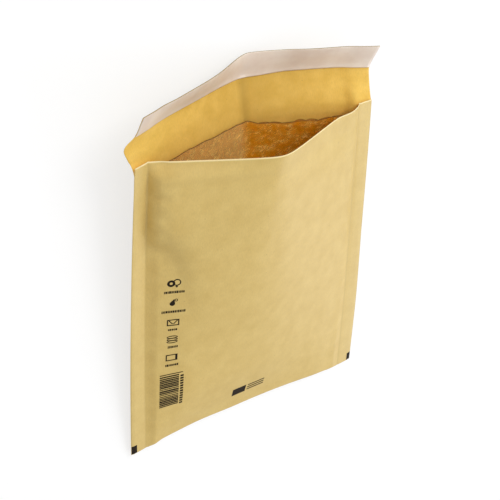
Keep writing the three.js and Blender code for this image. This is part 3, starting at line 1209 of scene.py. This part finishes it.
# %% Pictograms and captions
COLUMN = -86  # the pictograms' middle line
LINE = 0.9
CAPTIONS = [  # height above the bottom fold, width and height
    (162.1, 15.0, 2.3),
    (143.5, 18.0, 2.4),
    (125.6, 7.2, 2.0),
    (108.0, 7.0, 2.4),
    (89.0, 10.2, 2.2),
]


def draw_pictograms(bm):
    """Two bubbles, a drop, an envelope, a stack of sheets and a box."""
    ink_ring(bm, COLUMN - 2.2, 170.2, 3.1, 1.9)
    ink_ring(bm, COLUMN + 2.2, 171.0, 3.1, LINE)
    ink_bar(bm, COLUMN + 2.0, 167.2, 1.5, 1.5, turn=0.78)
    ink_drop(bm, COLUMN - 0.9, 151.2, 2.1)
    ink_ring(bm, COLUMN + 2.0, 154.4, 1.3, 0.6)
    ink_box(bm, COLUMN + 0.1, 132.7, 9.6, 6.2, LINE)
    for side in (-1, 1):
        ink_bar(bm, COLUMN + 0.1 + 1.9 * side, 133.1, 0.8, 4.8, turn=side * -0.7)
    for step in (-2.3, 0, 2.3):
        ink_ring(bm, COLUMN - 0.2, 115.7 + step, 4.4, 0.8, tall=0.34)
    ink_box(bm, COLUMN - 0.2, 97, 9.4, 6.4, LINE)
    ink_bar(bm, COLUMN + 3.6, 97, 1.8, 4.8)


def draw_captions(bm):
    for h, width, height in CAPTIONS:
        ink_blocks(bm, COLUMN, h, width, height, int(h))


# %% Code bars, block and corner marks
CODE_LEFT, CODE_RIGHT = -95.5, -79.5
CODE_TOP, CODE_BOTTOM = 79, 47
TICKS = 12


def draw_code_bars(bm):
    """Bars of uneven weight stacked up the sheet, with short ticks at their right."""
    draw = random.Random(11)
    middle = (CODE_LEFT + CODE_RIGHT) / 2
    width = CODE_RIGHT - CODE_LEFT
    ink_bar(bm, middle + 1.6, 79.4, width + 3.2, 0.9)
    h = CODE_TOP
    while h > CODE_BOTTOM:
        h -= draw.uniform(1.7, 2.1)
        ink_bar(bm, middle, h, width, draw.uniform(0.9, 1.7))
    for k in range(TICKS):
        ink_bar(bm, -77.0, 75.5 - 2.8 * k, 2.8, 1.9)


def draw_maker_bars(bm):
    """A dark block and three thin bars beside it."""
    ink_bar(bm, -15.3, 25, 14, 9)
    for row in (-3, 0, 3):
        ink_bar(bm, 2.6, 25 + row, 18, 1.3)


def draw_corner_marks(bm):
    ink_bar(bm, -117.2, 5.6, 5.2, 8.6)
    ink_bar(bm, 118.0, 5.4, 3.8, 8.0)


# %% Ink and stamping
INK_BLACK = srgb(20, 14, 8)
WORN_BLACK = srgb(44, 34, 22)


def make_ink():
    """Flat black, thinner where a fibre stands up."""
    material, tree = new_material("printing_ink")
    fibre = add_fibres(tree, 90)["Fibre"]
    finish = {
        "Base Color": blend(tree, ranged(tree, fibre, 0.3, 0.6), INK_BLACK, WORN_BLACK),
        "Roughness": ranged(tree, fibre, 0.3, 0.6, 0.7, 0.85),
        "Specular IOR Level": 0.15,
    }
    surface(tree, finish)
    return material


INK = make_ink()


def cut_long_edges(bm):
    for _ in range(3):
        long_edges = [edge for edge in bm.edges if edge.calc_length() > INK_CELL]
        if long_edges:
            bmesh.ops.subdivide_edges(bm, edges=long_edges, cuts=1, use_grid_fill=True)


def stamp(name, draw):
    """Draws a stamp flat, cuts its long edges, turns it over, bends it onto the front and inks it."""
    bm = bmesh.new()
    draw(bm)
    cut_long_edges(bm)
    bmesh.ops.transform(bm, matrix=Matrix.Diagonal((MM, -MM, MM, 1)), verts=bm.verts)
    for face in bm.faces:
        face.normal_update()
        if face.normal.z > 0:
            face.normal_flip()
    write_blank_uv(bm)
    mesh = mesh_from(bm, name)
    bend(mesh, -PAPER / 2 - INK_LIFT)
    made = make_object(mesh, [INK])
    return thicken(made, INK_THICKNESS)


prints = [
    stamp("print_pictograms", draw_pictograms),
    stamp("print_captions", draw_captions),
    stamp("print_code_bars", draw_code_bars),
    stamp("print_maker_bars", draw_maker_bars),
    stamp("print_corner_marks", draw_corner_marks),
]
